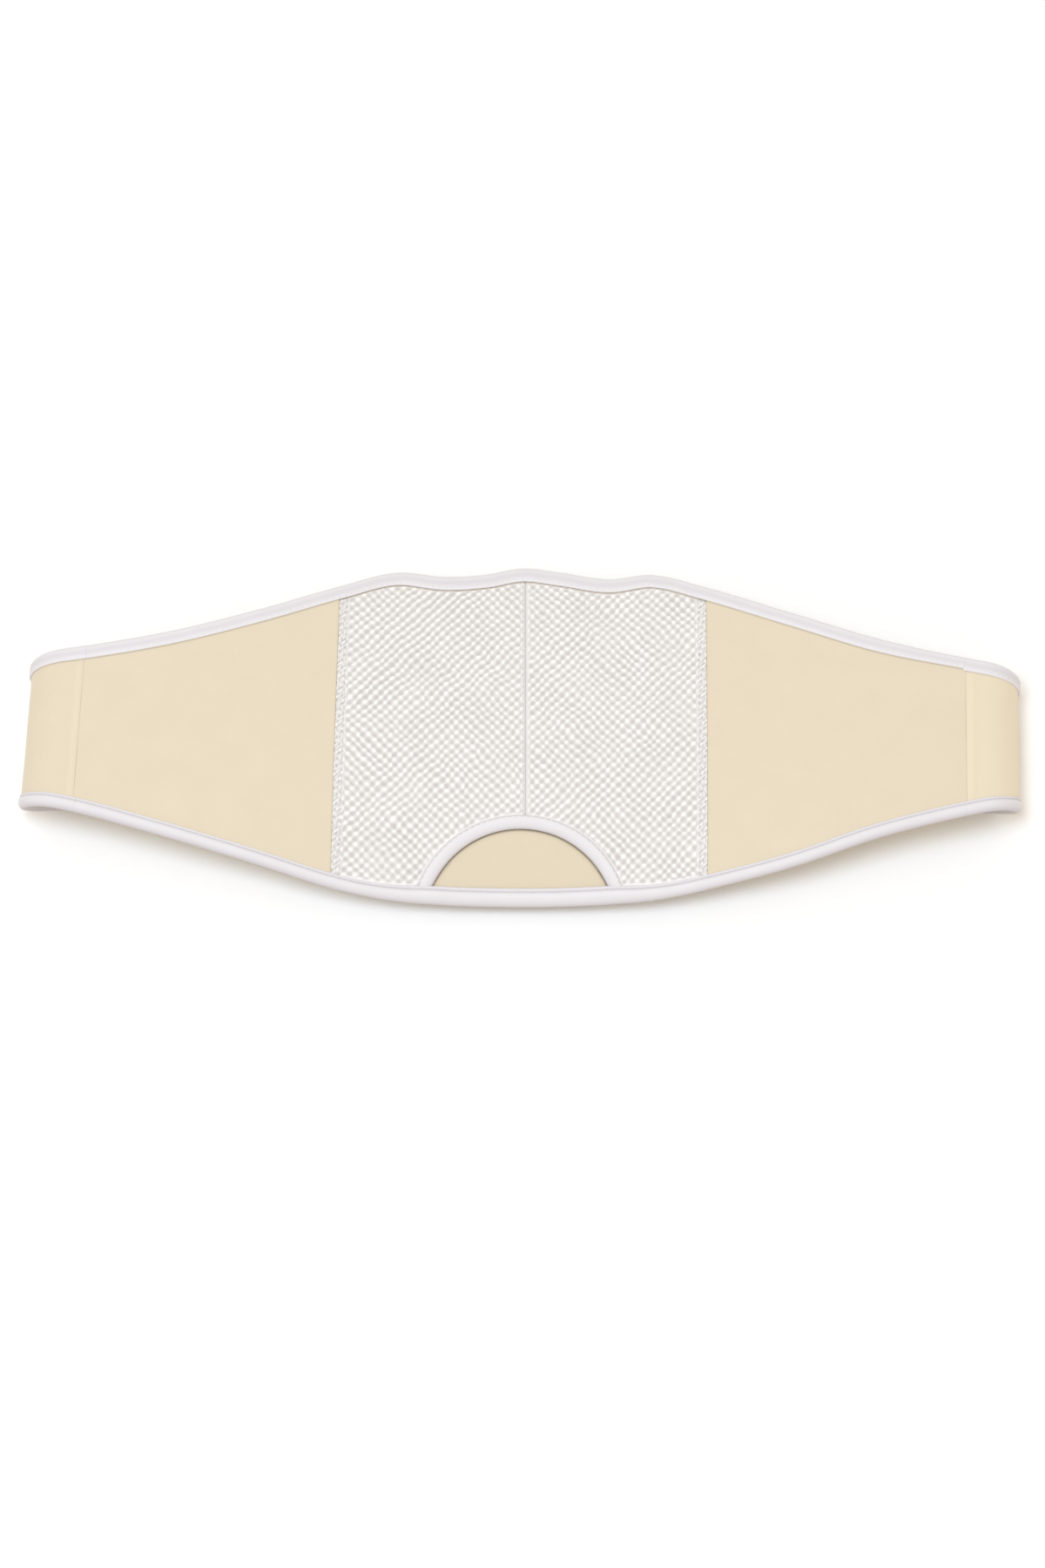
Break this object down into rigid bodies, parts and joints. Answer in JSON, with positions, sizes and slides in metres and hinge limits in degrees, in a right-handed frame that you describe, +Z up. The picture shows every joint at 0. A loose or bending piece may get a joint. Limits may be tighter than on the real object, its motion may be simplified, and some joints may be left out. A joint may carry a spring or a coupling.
{
  "type": "support belt",
  "caption": "Cream elastic support belt with a white mesh front panel, bound edges and a half-moon lower insert, fastened into a loop and lying flat.",
  "frame": {"origin": "under the middle of the belt's box, on the surface that it lies on", "axes": "+X along the belt to the right of the front panel, +Y towards its upper edge, +Z up, out of the front panel"},
  "size_m": [0.4638, 0.1634, 0.0402],
  "materials": {
    "cream_cloth": "matt fine brushed knit",
    "white_binding": "soft satin folded tape",
    "white_mesh": "puffy spacer mesh with small dents",
    "hook_tape": "matt hook tape"
  },
  "bodies": {
    "root": {"mesh_panel_left": "white_mesh", "mesh_panel_right": "white_mesh", "side_panel_left": "cream_cloth", "side_panel_right": "cream_cloth", "wing_left": "cream_cloth", "wing_right": "cream_cloth", "lower_insert": "cream_cloth", "upper_binding": "white_binding", "lower_binding": "white_binding", "upper_wing_binding_left": "white_binding", "lower_wing_binding_left": "white_binding", "upper_wing_binding_right": "white_binding", "lower_wing_binding_right": "white_binding", "arch_binding": "white_binding", "hook_tab": "hook_tape"}
  },
  "joints": []
}
